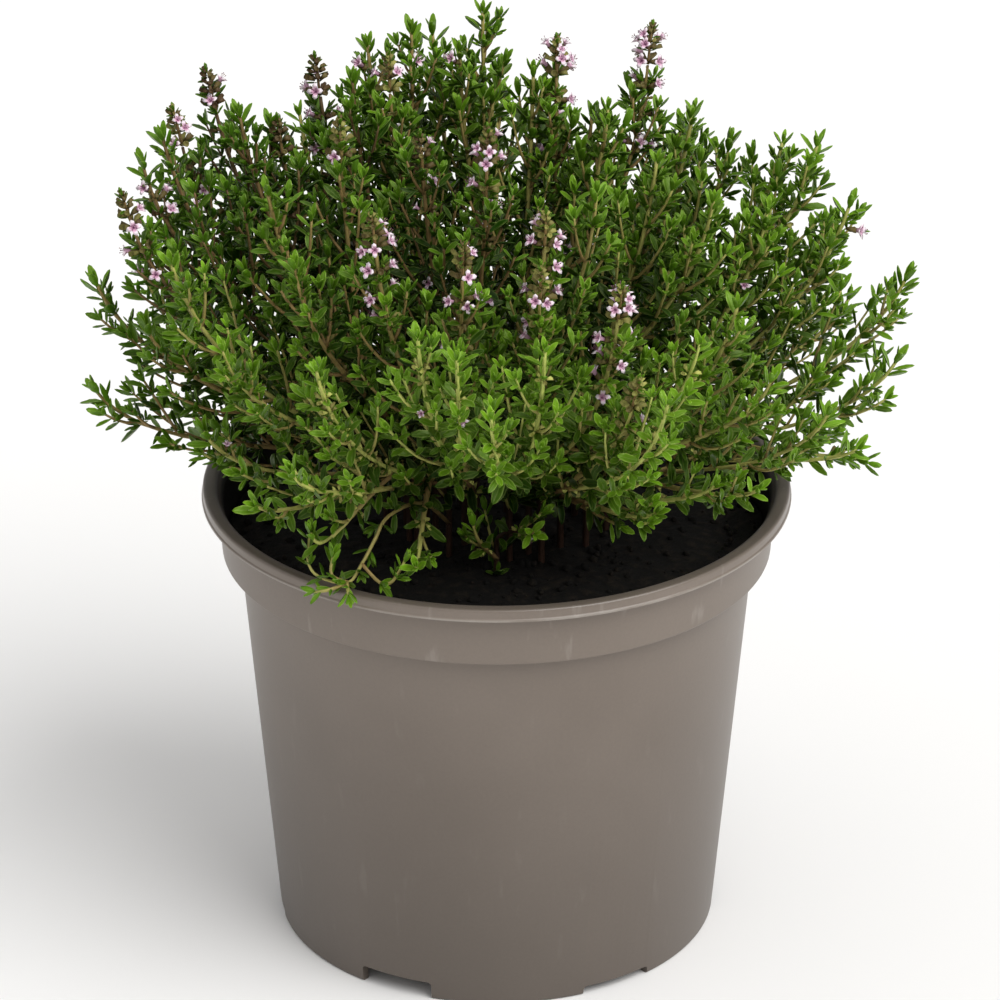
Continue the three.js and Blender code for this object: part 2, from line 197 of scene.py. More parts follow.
def makeLeaf():
    shader = Shader("thymeLeaf", 0.34, 0.36)
    shader.surface.inputs["Specular Tint"].default_value = (0.86, 1, 0.5, 1)
    grown = shader.growth()
    across = grown["across"]
    green = shader.mix(grown["age"], colour["leafOld"], colour["leafYoung"])
    rib = shader.fade(across, 0.07, 0.0)
    # a paler midrib, and a painted highlight along the margins
    marginHighlight = shader.times(shader.fade(across, 0.3, 0.5), shader.fade(across, 0.6, 0.5))
    ribAndHighlight = shader.maths("MAXIMUM", shader.times(rib, 0.12), shader.times(marginHighlight, 0.27))
    top = shader.mix(ribAndHighlight, green, colour["leafRibAndHighlight"])
    # painted shade: the undersides darker
    shadedUnder = shader.mix(0.5, green, colour["leafUnderShaded"])
    both = shader.mix(shader.fade(across, 0.5, 0.56), top, shadedUnder)
    mottled = shader.vary(both, shader.noise(900, 2), 0.5)
    # the tone varies at random and also darkens leaves deep in the bush as painted shade
    shader.colourBy(shader.vary(mottled, grown["toneAndShade"], 1.0, 0.0))
    return shader.material


def makeBark():
    shader = Shader("squareStem", 0.55, 0.35)
    grown = shader.growth()
    wood = shader.mix(shader.fade(grown["age"], 0.0, 0.5), colour["barkBrown"], colour["barkTan"])
    bark = shader.mix(shader.fade(grown["age"], 0.45, 1.0), wood, colour["barkGreen"])
    # painted shade: the stem's foot, in the shade near the peat, mixed towards the peat's dark colour and
    # darkened by the tone
    bark = shader.mix(shader.fade(grown["toneAndShade"], -0.3, -0.75), bark, colour["peatCrumb"])  # near the peat
    streaks = shader.noise(700, 3)
    shader.colourBy(shader.vary(shader.vary(bark, streaks, 0.7), grown["toneAndShade"], 1.0, 0.0))
    shader.bump(streaks, 0.3, 0.2 * mm)
    return shader.material


def makeCalyx():
    shader = Shader("calyx", 0.55, 0.3)
    grown = shader.growth()
    ripe = shader.times(grown["age"], grown["age"])
    cup = shader.mix(ripe, colour["calyxBrown"], colour["calyxOlive"])
    shader.colourBy(shader.vary(cup, grown["along"], 0.5))
    return shader.material


def makePetal():
    shader = Shader("thymePetal", 0.55, 0.3)
    along = shader.growth()["along"]
    lobes = shader.mix(shader.fade(along, 0.3, 0.8), colour["petalDeep"], colour["petal"])
    shader.colourBy(shader.mix(shader.fade(along, 0.24, 0.1), lobes, colour["throat"]))
    return shader.material


def makeAnther():
    shader = Shader("anther", 0.6)
    shader.colourBy(shader.vary(colour["anther"], shader.noise(3000), 0.4))
    return shader.material


plantMaterials = [makeBark(), makeLeaf(), makeCalyx(), makePetal(), makeAnther()]
barkSlot, leafSlot, calyxSlot, petalSlot, antherSlot = range(5)
print("plant materials made")


def finishPiece(name, bm, materials, node, sharpDegrees=None):
    # the bmesh as a named piece at the origin that stands for its CAD node
    if sharpDegrees is not None:
        sharp = math.radians(sharpDegrees)
        for edge in bm.edges:
            edge.smooth = len(edge.link_faces) == 2 and edge.calc_face_angle(0) < sharp
    for face in bm.faces:
        face.smooth = True
    piece = addObject(name, keepMesh(name, bm))
    for material in materials:
        piece.data.materials.append(material)
    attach(piece, "root")
    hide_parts(node)


pot = {
    "height": 105 * mm,
    "rimRadius": 65 * mm,
    "rimInnerRadius": 62.2 * mm,
    "lipHeight": 2.7 * mm,
    "wall": 1.3 * mm,
    "collarTopRadius": 61.6 * mm,
    "collarFootRadius": 60.8 * mm,
    "collarFootHeight": 90 * mm,
    "bodyTopRadius": 57 * mm,
    "footRadius": 49.2 * mm,
    "floorHeight": 4.6 * mm,
    "floorThickness": 1.6 * mm,
    "footWall": 1.8 * mm,
    "steps": 144,
}
footNotch = {
    "count": 6,
    "firstDegrees": 3,
    "wideDegrees": 20,
    "tall": 4.2 * mm,
    "low": 2.1 * mm,
    "corner": 0.9 * mm,
}
drainHole = {"radius": 3.5 * mm, "fromAxis": 38 * mm, "steps": 24}
potFinish = {
    "scuffs": 0.03,  # how strongly the scuffs show, and how much more they do on the collar
    "collarScuffs": 0.09,
    # how strongly the dust and painted shade inside the collar, the painted shade on the lip's top and the
    # painted highlight on its lower edge show
    "dustAndShade": 0.93,
    "paintedLipShade": 0.34,
    "edgePaintedHighlight": 0.22,
    "lipGloss": 0.12,
}
lipFoot = pot["height"] - pot["lipHeight"]
collarFoot = pot["collarFootHeight"]


def makePlastic():
    shader = Shader("potPlastic", 0.42)
    x, y, z = shader.node("SeparateXYZ", {"Vector": shader.place()}).outputs
    reach = shader.maths("SQRT", shader.maths("ADD", shader.times(x, x), shader.times(y, y)))
    cloudy = shader.noise(22, 3)
    fine = shader.noise(1400, 2)
    base = shader.mix(shader.fade(cloudy, 0.3, 0.7), colour["plasticDark"], colour["plastic"])
    base = shader.vary(base, fine, 0.12)
    # painted shade: the wall darker towards the foot
    base = shader.vary(base, shader.fade(z, 0, 110 * mm), 0.44, 0.88)
    # faint scuffs that run up and down the wall, more of them on the collar
    stretched = shader.node("Mapping", {"Scale": (1, 1, 0.22), "Vector": shader.place()}).outputs["Vector"]
    scuff = shader.fade(shader.noise(260, 4, stretched), 0.62, 0.74)
    onCollar = shader.fade(z, collarFoot - 2 * mm, collarFoot + 1 * mm)
    scuffed = shader.maths("MULTIPLY_ADD", onCollar, potFinish["collarScuffs"], potFinish["scuffs"])
    base = shader.mix(shader.times(scuff, scuffed), base, colour["plasticScuffAndHighlight"])
    # peat dust and painted shade on the collar's inner face, which lies inside the middle of its wall, nearly
    # the peat's colour above the ledge
    slope = (pot["collarTopRadius"] - pot["collarFootRadius"]) / (lipFoot - collarFoot)
    middle = pot["collarFootRadius"] - pot["wall"] / 2 - slope * collarFoot
    inward = shader.maths("SUBTRACT", shader.maths("MULTIPLY_ADD", z, slope, middle), reach)
    inside = shader.fade(inward, -0.2 * mm, 0.3 * mm)
    insideDustAndShade = shader.times(inside, shader.fade(z, collarFoot - 0.5 * mm, collarFoot + 0.5 * mm))
    base = shader.mix(shader.times(insideDustAndShade, potFinish["dustAndShade"]), base, colour["peat"])
    # painted shade darkens the lip's top, and a painted highlight lightens its lower edge in places
    rim = pot["rimRadius"]
    top = shader.fade(z, pot["height"] - 2.1 * mm, pot["height"] - 0.7 * mm)
    shadedTopOfLip = shader.times(top, shader.fade(reach, rim + 0.1 * mm, rim - 0.8 * mm))
    base = shader.vary(base, shadedTopOfLip, -potFinish["paintedLipShade"], 0)
    # painted highlight along the lip's lower edge, broken up by noise
    edge = shader.times(shader.fade(z, lipFoot - 0.2 * mm, lipFoot), shader.fade(reach, rim - 0.4 * mm, rim))
    edge = shader.times(edge, shader.fade(z, lipFoot + 0.6 * mm, lipFoot + 0.3 * mm))
    paintedHighlight = shader.times(edge, shader.fade(shader.noise(90, 4), 0.3, 0.62))
    shader.colourBy(shader.mix(shader.times(paintedHighlight, potFinish["edgePaintedHighlight"]), base, colour["plasticScuffAndHighlight"]))
    # a soft sheen, and a glossier lip
    onLip = shader.fade(z, lipFoot - 0.3 * mm, lipFoot + 0.1 * mm)
    onLip = shader.times(onLip, shader.fade(reach, rim - 2 * mm, rim - 0.2 * mm))
    rough = shader.maths("MULTIPLY_ADD", cloudy, 0.12, 0.36)
    rough = shader.maths("MULTIPLY_ADD", onLip, -potFinish["lipGloss"], rough)
    shader.plug(rough, shader.surface.inputs["Roughness"])
    shader.bump(fine, 0.05, 0.2 * mm)
    return shader.material


def bodyRadiusAt(z):
    return pot["footRadius"] + (pot["bodyTopRadius"] - pot["footRadius"]) * z / collarFoot


def roundCorner(before, corner, after, radius, steps=4):
    # the points of an arc that takes the place of a profile's corner
    b, c, a = Vector(before), Vector(corner), Vector(after)
    start = c + (b - c).normalized() * radius
    end = c + (a - c).normalized() * radius
    shares = [i / steps for i in range(steps + 1)]
    return [tuple(start.lerp(c, t).lerp(c.lerp(end, t), t)) for t in shares]


def potProfile():
    p = pot
    inside = p["floorHeight"] + p["floorThickness"]
    ledge = collarFoot + p["wall"]
    corners = [
        # radius, height, and rounding in mm
        (0, p["floorHeight"], 0),
        (bodyRadiusAt(0) - p["footWall"], p["floorHeight"], 0.3),
        (bodyRadiusAt(0) - p["footWall"], 0, 0.2),
        (bodyRadiusAt(0), 0, 0.8),
        (p["bodyTopRadius"], collarFoot, 0.5),
        (p["collarFootRadius"], collarFoot, 0.5),
        (p["collarTopRadius"], lipFoot, 0.4),
        (p["rimRadius"] + 0.15 * mm, lipFoot, 0.1),
        (p["rimRadius"] + 0.15 * mm, lipFoot + 0.4 * mm, 0.15),
        (p["rimRadius"] - 0.15 * mm, lipFoot + 0.7 * mm, 0.15),
        (p["rimRadius"] - 0.1 * mm, p["height"], 0.8),
        (p["rimInnerRadius"] - 0.2 * mm, p["height"], 0.9),
        (p["collarTopRadius"] - p["wall"], p["height"] - 3.2 * mm, 0.8),
        (p["collarFootRadius"] - p["wall"], ledge, 0.4),
        (p["bodyTopRadius"] - p["wall"], ledge, 0.4),
        (bodyRadiusAt(inside) - p["wall"], inside, 0.6),
        (0, inside, 0),
    ]
    points = []
    for i, (radius, height, rounding) in enumerate(corners):
        if rounding:
            points += roundCorner(corners[i - 1][:2], (radius, height), corners[i + 1][:2], rounding * mm)
        else:
            points.append((radius, height))
    return points


aboutAxis = {"cent": (0, 0, 0), "axis": (0, 0, 1)}


def spinProfile(points, steps):
    # a profile of radius and height turned full circle about the pot's axis
    bm = bmesh.new()
    verts = [bm.verts.new((0, -radius, height)) for radius, height in points]
    edges = [bm.edges.new(pair) for pair in zip(verts, verts[1:])]
    bmesh.ops.spin(bm, geom=verts + edges, angle=2 * math.pi, steps=steps, use_merge=True, **aboutAxis)
    bmesh.ops.remove_doubles(bm, verts=bm.verts, dist=1e-6)
    bmesh.ops.recalc_face_normals(bm, faces=bm.faces)
    return bm


def notchCutter(middleDegrees, height):
    # a wedge through the foot ring
    bm = bmesh.new()
    half = math.radians(footNotch["wideDegrees"] / 2)
    inner = pot["footRadius"] - pot["footWall"] - 1 * mm
    outer = pot["footRadius"] + 3 * mm
    a = bm.verts.new((inner, 0, -1 * mm))
    b = bm.verts.new((outer, 0, -1 * mm))
    edge = bm.edges.new((a, b))
    start = math.radians(middleDegrees) - half
    bmesh.ops.rotate(bm, verts=[a, b], cent=(0, 0, 0), matrix=Matrix.Rotation(start, 3, "Z"))
    bmesh.ops.spin(bm, geom=[a, b, edge], angle=2 * half, steps=8, **aboutAxis)
    raised = bmesh.ops.extrude_face_region(bm, geom=bm.faces[:])
    top = [v for v in raised["geom"] if isinstance(v, bmesh.types.BMVert)]
    bmesh.ops.translate(bm, verts=top, vec=(0, 0, height + 1 * mm))
    turnBack = Matrix.Rotation(-math.radians(middleDegrees), 3, "Z")
    corners = []
    for edge in bm.edges:
        ends = [turnBack @ v.co for v in edge.verts]
        turns = [abs(math.atan2(end.y, end.x)) for end in ends]
        if min(end.z for end in ends) > 0 and min(turns) > half - 0.01:
            corners.append(edge)
    rounded = {"affect": "EDGES", "segments": 4, "profile": 0.5, "material": -1}
    bmesh.ops.bevel(bm, geom=corners, offset=footNotch["corner"], **rounded)
    bmesh.ops.recalc_face_normals(bm, faces=bm.faces)
    return addObject("notch", keepMesh("notch", bm))


def drainCutter(middleDegrees):
    # a round peg through the floor
    bm = bmesh.new()
    middle = outwardsAt(math.radians(middleDegrees)) * drainHole["fromAxis"] + up * 5 * mm
    radius = drainHole["radius"]
    addCone(bm, drainHole["steps"], 8 * mm, radius, radius, Matrix.Translation(middle))
    return addObject("peg", keepMesh("peg", bm))


def carve(bm, cutters):
    # the bmesh with the cutters taken away from it
    block = addObject("block", keepMesh("block", bm))
    for tool in cutters:
        cut = block.modifiers.new("cut", "BOOLEAN")
        cut.object = tool
        cut.solver = "EXACT"
    bpy.context.view_layer.update()
    carved = bpy.data.meshes.new_from_object(block.evaluated_get(bpy.context.evaluated_depsgraph_get()))
    result = bmesh.new()
    result.from_mesh(carved)
    for obj in [block] + cutters:
        bpy.data.objects.remove(obj)
    return result


def makePot():
    cutters = []
    for i in range(footNotch["count"]):
        middle = footNotch["firstDegrees"] + 360 / footNotch["count"] * i
        cutters.append(notchCutter(middle, footNotch["low"] if i % 2 else footNotch["tall"]))
        cutters.append(drainCutter(middle))
    bm = carve(spinProfile(potProfile(), pot["steps"]), cutters)
    finishPiece("growersPot", bm, [makePlastic()], "pot", sharpDegrees=38)


makePot()
print("pot made")

soil = {
    "level": 93.5 * mm,
    "crown": 1.6 * mm,
    "lump": 0.9 * mm,
    "rings": 44,
    "steps": 132,
    "gap": 0.35 * mm,
    "crumbs": 620,
}


def makePeat():
    shader = Shader("peat", 0.92, 0.25)
    lumps = shader.noise(420, 5)
    shader.colourBy(shader.mix(shader.fade(lumps, 0.45, 0.75), colour["peat"], colour["peatCrumb"]))
    shader.bump(lumps, 0.7, 1.2 * mm)
    return shader.material


def soilTopAt(x, y):
    # a low crown with lumps
    out = math.hypot(x, y) / pot["bodyTopRadius"]
    place = Vector((x, y, 0))
    coarse = noise.noise(place / (11 * mm))
    fine = noise.noise(place / (3.2 * mm) + Vector((7, 0, 0)))
    return soil["level"] + soil["crown"] * (1 - out * out) + soil["lump"] * (coarse + 0.45 * fine)


def makeSoil():
    wallGap = pot["wall"] + soil["gap"]
    floor = pot["floorHeight"] + pot["floorThickness"] + soil["gap"]
    ledge = collarFoot + wallGap
    edge = pot["collarFootRadius"] - wallGap
    profile = [
        (0, floor),
        (bodyRadiusAt(floor) - wallGap - 0.2 * mm, floor),
        (pot["bodyTopRadius"] - wallGap - 0.2 * mm, ledge),
        (edge, ledge),
    ]
    profile += [(edge * (1 - i / soil["rings"]), soil["level"]) for i in range(soil["rings"] + 1)]
    bm = spinProfile(profile, soil["steps"])
    for v in bm.verts:
        if v.co.z > soil["level"] - 0.01 * mm:
            v.co.z = soilTopAt(v.co.x, v.co.y)
    draw = makeDraw(77)
    for i in range(soil["crumbs"]):
        radius = (edge - 1.5 * mm) * math.sqrt(draw())
        at = draw(0, 2 * math.pi)
        x, y = radius * math.cos(at), radius * math.sin(at)
        size = draw(0.35, 1.25) * mm * (1.5 if draw() > 0.9 else 1)
        where = Matrix.Translation((x, y, soilTopAt(x, y) + 0.2 * size))
        turn = Matrix.Rotation(draw(0, 3), 4, Vector((draw(), draw(), draw() + 0.1)).normalized())
        squash = Matrix.Diagonal((1, draw(0.6, 1), draw(0.5, 0.8), 1))
        bmesh.ops.create_icosphere(bm, subdivisions=1, radius=size, matrix=where @ turn @ squash)
    finishPiece("peatFill", bm, [makePeat()], "soil")


makeSoil()
print("soil made")

# the shoots follow the same lines as in the part
stem = {
    "width": 1.25 * mm,
    "rootDepth": 7 * mm,
    "neck": 15 * mm,
    "rootSpread": 0.28,  # share of the first tip's reach
    "forkAt": 0.34,  # share of the main shoot's length, and how much further up every second fork is
    "forkSpacing": 0.14,
}


def stemRow(habit, woody, *tips, **rest):
    return {"habit": habit, "woody": woody, "tips": tips, **rest}


# Each row is one stem: its habit, which is one of the habits below, how woody it looks, from 0 to 1, and
# where its shoots end, in mm to the right, back and up. The rest counts the shoots from 0: which ones flower,
# end in a brown head of calyces or sink to the rim, and the share of open flowers where it isn't the usual.
leafyStems = [
    stemRow("bushy", 0.9, (-62, 10, 195), (-67.5, 2, 183), flowering=[1], heads=[0]),
    stemRow("bushy", 0.8, (-71, -8, 189), (-77, -18, 172), (-75, -12, 184), flowering=[1]),
    stemRow("open", 0.5, (-86.5, -5, 154), (-75, -21, 151)),
    stemRow("open", 0.5, (-86.5, -13, 132), (-72, 2, 122)),
    stemRow("bushy", 0.3, (-68, -37, 172), (-57, -50, 158)),
    stemRow("open", 0.3, (-62, -40, 135), (-50, -60, 127)),
    stemRow("bushy", 0.9, (-38.3, 19, 188), (-31, 8, 196), flowering=[0]),
    stemRow("bushy", 0.8, (-55, 0, 191), (-47, 9, 184), heads=[1]),
    stemRow("filled", 0.5, (-28, 24, 198), (-23, 13, 191), (-18.5, 24, 201), flowering=[1]),
    stemRow("bushy", 0.5, (-48, -27, 184), (-42, -43, 174), (-33, -14, 193), heads=[2]),
    stemRow("filled", 0.4, (-3, 28, 204), (-14, 37, 196), (-8, 20, 198)),
    stemRow("filled", 0.7, (-16, -13, 189), (-2, -22, 188), flowering=[1], heads=[0]),
    stemRow("filled", 0.35, (8, 14, 196), (24, 6, 190)),
    stemRow("filled", 0.5, (21, 33, 178), (33, 25, 193), (13, 15, 194),
            flowering=[1, 2], openShares={1: 0.42, 2: 0.42}),
    stemRow("filled", 0.3, (43, 32, 178), (51, 20, 177)),
    stemRow("filled", 0.3, (34, -14, 186), (46, -19, 179)),
    stemRow("filled", 0.25, (62, 12, 180), (69, 3, 183)),
    stemRow("filled", 0.25, (76, -2, 171), (58, -8, 172)),
    stemRow("open", 0.25, (86, -17, 141), (77, -32, 127)),
    stemRow("open", 0.3, (88.5, -6, 156), (81, -6, 112)),
    stemRow("bushy", 0.3, (50, -50, 168), (57, -58, 155)),
    stemRow("open", 0.3, (70, -44, 141), (55, -50, 126)),
    stemRow("bushy", 0.45, (-25, -46, 179), (-7, -52, 175), flowering=[0, 1], openShares={0: 0.3, 1: 0.2}),
    stemRow("bushy", 0.4, (10, -43, 178), (9, -52, 170), (21, -32, 186),
            flowering=[0, 1], openShares={0: 0.3, 1: 0.2}),
    stemRow("front", 0.3, (25, -60, 169), (28, -62, 150), flowering=[0, 1], openShares={0: 0.45, 1: 0.08}),
    stemRow("front", 0.1, (-16, -71, 170), (-8, -75, 167)),
    stemRow("front", 0.1, (10, -70, 167), (-1, -80, 156)),
    stemRow("front", 0.1, (35, -75, 157), (42, -58, 163)),
    stemRow("front", 0.2, (-37, -65, 160), (-42, -72, 140), (-39, -56, 119), (-17, -58, 112),
            sprawling=[2, 3]),
    stemRow("front", 0.2, (8, -40, 111), (-5, -39, 113), root=(0, -26)),
    stemRow("front", 0.2, (34, -50, 121), (46, -46, 125), (26, -36, 111)),
]

# where single flowers open beside the shoots, by the stem's number
loneFlowers = {
    1: [(-61.7, 7.9, 191.6)],
    2: [(-75.2, -13.8, 180), (-70.1, -9.7, 178.5), (-69.2, -13.2, 175.1), (-63.8, -9.4, 174.3)],
    9: [(-30.3, 21.7, 195), (-17.1, 21.7, 195.5)],
    11: [(-10.1, 18, 197.4)],
    12: [(-13.5, -14.6, 181.9), (-14.7, -12.7, 157.5), (-1.6, -18.6, 156.3)],
    13: [(15.5, 4, 158.4)],
    18: [(78.7, -4, 166), (53.5, -8.7, 155.4)],
    25: [(22.2, -54.1, 149.4)],
}

# thin shoots that trail over the peat and the rim, by the stem's number, each as points along it
runners = {
    29: [
        [(-10.4, -18.2, 103), (-16, -31, 114), (-23, -44, 117), (-25.8, -49.3, 114), (-28.5, -52.7, 110),
         (-31.4, -56.8, 107.6), (-37.6, -53.9, 107.6), (-39.9, -52.9, 111), (-39.3, -53.7, 118)],
        [(-28.5, -52.7, 110), (-24.6, -55.6, 107), (-21.9, -56.8, 108), (-19.3, -55.3, 112)],
        [(-31.4, -56.8, 107.6), (-35.1, -61, 108), (-38.3, -60, 107)],
        [(-31.4, -56.8, 107.6), (-34.8, -56, 109), (-34.5, -54.9, 113)],
        [(-31.4, -56.8, 107.6), (-31.4, -59.4, 108.4), (-31.2, -61.8, 107.4)],
    ],
}

# Rows of stems round the back half: reach from the axis and height of each shoot.
backRows = [
    {"count": 4, "fromDegrees": 22, "toDegrees": 158, "tips": [(85, 137), (79, 119), (75, 158)]},
    {"count": 3, "fromDegrees": 45, "toDegrees": 135, "tips": [(62, 173), (73, 162)]},
]
backForkDegrees = 12


def backStems():
    rows = []
    draw = makeDraw(4242)
    for row in backRows:
        for i in range(row["count"]):
            share = i / (row["count"] - 1)
            degrees = mixed((row["fromDegrees"], row["toDegrees"]), share)
            tips = []
            for n, (reach, height) in enumerate(row["tips"]):
                side = 1 if (n + i) % 2 else -1
                at = math.radians(degrees + (side * backForkDegrees if n else 0))
                tips.append((reach * math.cos(at), reach * math.sin(at), height + 6 * (draw() - 0.5)))
            rows.append(stemRow("filled", 0.35, *tips))
    return rows


def makeShoot(points, turn):
    # a line with a running length, its directions, and one side carried along it without twist
    parts = [b - a for a, b in zip(points, points[1:])]
    along = [part.normalized() for part in parts]
    along.append(along[-1])
    distance = [0, *accumulate(part.length for part in parts)]
    side = Vector((-1, 0, 0))
    side = (side - along[0] * side.dot(along[0])).normalized()
    side.rotate(Matrix.Rotation(turn, 3, along[0]))
    sides = []
    for direction in along:
        side = (side - direction * side.dot(direction)).normalized()
        sides.append(side.copy())
    return {"points": points, "along": along, "sides": sides, "distance": distance, "length": distance[-1]}


def onShoot(shoot, distance):
    # the point, direction and side at a distance from the root
    marks = shoot["distance"]
    i = min(max(bisect_right(marks, distance) - 1, 0), len(marks) - 2)
    share = min(max((distance - marks[i]) / (marks[i + 1] - marks[i]), 0), 1)
    point = shoot["points"][i].lerp(shoot["points"][i + 1], share)
    return point, shoot["along"][i], shoot["sides"][i]


def curveThrough(start, first, second, end, gap=1.6 * mm):
    # points about a gap apart on the curve between two ends and their handles
    rough = (first - start).length + (second - first).length + (end - second).length
    return interpolate_bezier(start, first, second, end, max(4, round(rough / gap)))


def mainShoot(root, tip, turn):
    # straight up out of the peat, then out over the rim to the tip
    end = Vector(tip) * mm
    soilLevel = soil["level"]
    rise = end.z - soilLevel
    overRim = pot["height"] + 7 * mm
    bendLevel = max(soilLevel + 0.5 * rise, min(overRim, end.z - 2 * mm))
    bend = Vector((end.x * 0.86, end.y * 0.86, bendLevel))
    neckHeight = min(stem["neck"], 0.45 * rise)
    foot = Vector((root[0] * mm, root[1] * mm, soilLevel - stem["rootDepth"]))
    neck = Vector((foot.x, foot.y, soilLevel + neckHeight))
    upright = [foot.lerp(neck, i / 12) for i in range(12)]
    return makeShoot(upright + curveThrough(neck, neck + up * neckHeight * 0.6, bend, end), turn)


def forkShoot(main, share, tip, sprawls, turn):
    # from a place on the main shoot; a sprawling one sinks to the rim and turns up at its end
    start = onShoot(main, share * main["length"])[0]
    end = Vector(tip) * mm
    reach = (end - start).length
    first = start.lerp(end, 0.3) + up * (reach * 0.15 if sprawls else -reach * 0.03)
    second = start.lerp(end, 0.9 if sprawls else 0.88)
    second.z = max(pot["height"] + 3 * mm, end.z - 15 * mm) if sprawls else start.z + 0.56 * (end.z - start.z)
    return makeShoot(curveThrough(start, first, second, end), turn)


def growStems():
    plants = []
    for index, row in enumerate(leafyStems + backStems()):
        draw = makeDraw(1000 + 37 * index)
        tips = row["tips"]
        root = row.get("root", (tips[0][0] * stem["rootSpread"], tips[0][1] * stem["rootSpread"]))
        main = mainShoot(root, tips[0], draw() * math.pi)
        shoots = [main]
        for n, tip in enumerate(tips[1:]):
            share = stem["forkAt"] + stem["forkSpacing"] * (n % 2)
            sprawls = n + 1 in row.get("sprawling", [])
            shoots.append(forkShoot(main, share, tip, sprawls, draw() * math.pi))
        plants.append({**row, "number": index + 1, "shoots": shoots, "draw": draw})
    return plants


# leaves, tufts, calyces and flowers are small meshes that the stems copy
leaf = {
    "length": 5.2 * mm,
    "width": 1.82 * mm,
    "thickness": 0.52 * mm,
    "groove": 0.17 * mm,
}


def newGrowth():
    # an empty bmesh whose points can say how they grew: place along, place across, age, and tone with painted
    # shade
    bm = bmesh.new()
    bm.verts.layers.float_color.new("growth")
    return bm


def addCopy(bm, template, where, age=None, toneAndShade=0.0):
    # a copy of a small mesh in the bmesh; age None keeps the copy's own ages
    start = len(bm.verts)
    bm.from_mesh(template)
    bm.verts.ensure_lookup_table()
    fresh = bm.verts[start:]
    bmesh.ops.transform(bm, matrix=where, verts=fresh)
    layer = bm.verts.layers.float_color["growth"]
    for v in fresh:
        along, across, ownAge, ownTone = v[layer]
        if age is not None:
            ownAge = min(max(age + ownAge, 0), 1)
        v[layer] = (along, across, ownAge, ownTone + toneAndShade)


def mergeInto(bm, part):
    # moves all of one bmesh into another
    mesh = keepMesh("part", part)
    bm.from_mesh(mesh)
    bpy.data.meshes.remove(mesh)


def leafWidthAt(t):
    # blunt at the tip, narrowed to a short stalk at the root, and widest past the middle
    oval = max(0, 1 - (2 * t - 1) ** 2) ** 0.6
    rooting = min(1, t / 0.5)
    return oval * (0.4 + 0.6 * rooting * rooting * (3 - 2 * rooting))


def leafMesh(name, arch, fold, lines, rings=5):
    # stalk at the origin, pointing along +Y, upper face up
    bm = newGrowth()
    layer = bm.verts.layers.float_color["growth"]
    bmesh.ops.create_uvsphere(bm, u_segments=len(lines), v_segments=rings, radius=0.5)
    roles = {}
    for v in bm.verts:
        t = v.co.z + 0.5
        pole = math.hypot(v.co.x, v.co.y) < 1e-4
        role = round(math.atan2(v.co.y, v.co.x) / (2 * math.pi) * len(lines)) % len(lines)
        across, height, mark = (0, 0, 0.25) if pole else lines[role]
        swell = leafWidthAt(t)
        x = across * swell * leaf["width"] / 2
        z = fold * abs(x) - arch * leaf["length"] * t * t + height * swell * leaf["groove"]
        if mark == 1:
            z -= leaf["thickness"] * swell
        v.co = (x, leaf["length"] * t, z)
        v[layer] = (t, mark, 0, 0)
        roles[v.index] = mark
    for edge in bm.edges:
        edge.smooth = any(roles[v.index] != 0.5 for v in edge.verts)
    useSlot(bm, leafSlot)
    bmesh.ops.recalc_face_normals(bm, faces=bm.faces)
    return keepMesh(name, bm)


def basis(across, forward, face, at):
    return Matrix.Translation(at) @ Matrix((across, forward, face)).transposed().to_4x4()


def leafPlace(at, along, outwards, lean, size, roll=0.0):
    # where a leaf goes that leans outwards from its stem
    forward = (along * math.cos(lean) + outwards * math.sin(lean)).normalized()
    across = forward.cross(along).normalized()
    face = across.cross(forward)
    return basis(across, forward, face, at) @ Matrix.Rotation(roll, 4, "Y") @ Matrix.Scale(size, 4)


def addPair(bm, leaves, draw, at, along, side, lean, size, age, toneAndShade=0.0):
    # two leaves on opposite sides of a stem
    for sign in (1, -1):
        template = pick(draw, leaves)
        own = size * draw(0.88, 1.12)
        place = leafPlace(at, along, side * sign, lean + draw(-0.12, 0.12), own, draw(-0.35, 0.35))
        addCopy(bm, template, place, age, toneAndShade + draw(-0.12, 0.12))


def tuftMesh(name, pairs, leaves, draw):
    # pairs of leaves about +Z; each pair is height, lean in degrees, size and age
    bm = newGrowth()
    for k, (height, lean, size, age) in enumerate(pairs):
        turn = k * math.pi / 2 + draw(-0.2, 0.2)
        addPair(bm, leaves, draw, up * height * mm, up, outwardsAt(turn), math.radians(lean), size, age)
    return keepMesh(name, bm)


calyx = {
    "length": 2.4 * mm,  # of the cup, without its teeth
    "footRadius": 0.35 * mm,
    "mouthRadius": 0.85 * mm,
    "toothLength": 0.8 * mm,
    "wall": 0.22 * mm,
    "hollow": 0.6 * mm,
}
flower = {
    "tubeLength": 2.4 * mm,
    "tubeStart": 1.8 * mm,  # above the calyx's foot
    "tubeRadius": 0.4 * mm,
    "mouthRadius": 0.75 * mm,
    "lobes": 4,
    "lobeStart": 0.95,  # mm from the axis, and then how far the lobes of each kind of flower reach past it
    "lobeReaches": (1.25, 1.4, 1.1),
    "throatDepth": 0.9 * mm,
    "stamens": 4,
    "stamenLength": (1.6 * mm, 2.3 * mm),
    "stamenRadius": 0.07 * mm,
    "antherRadius": 0.19 * mm,
}


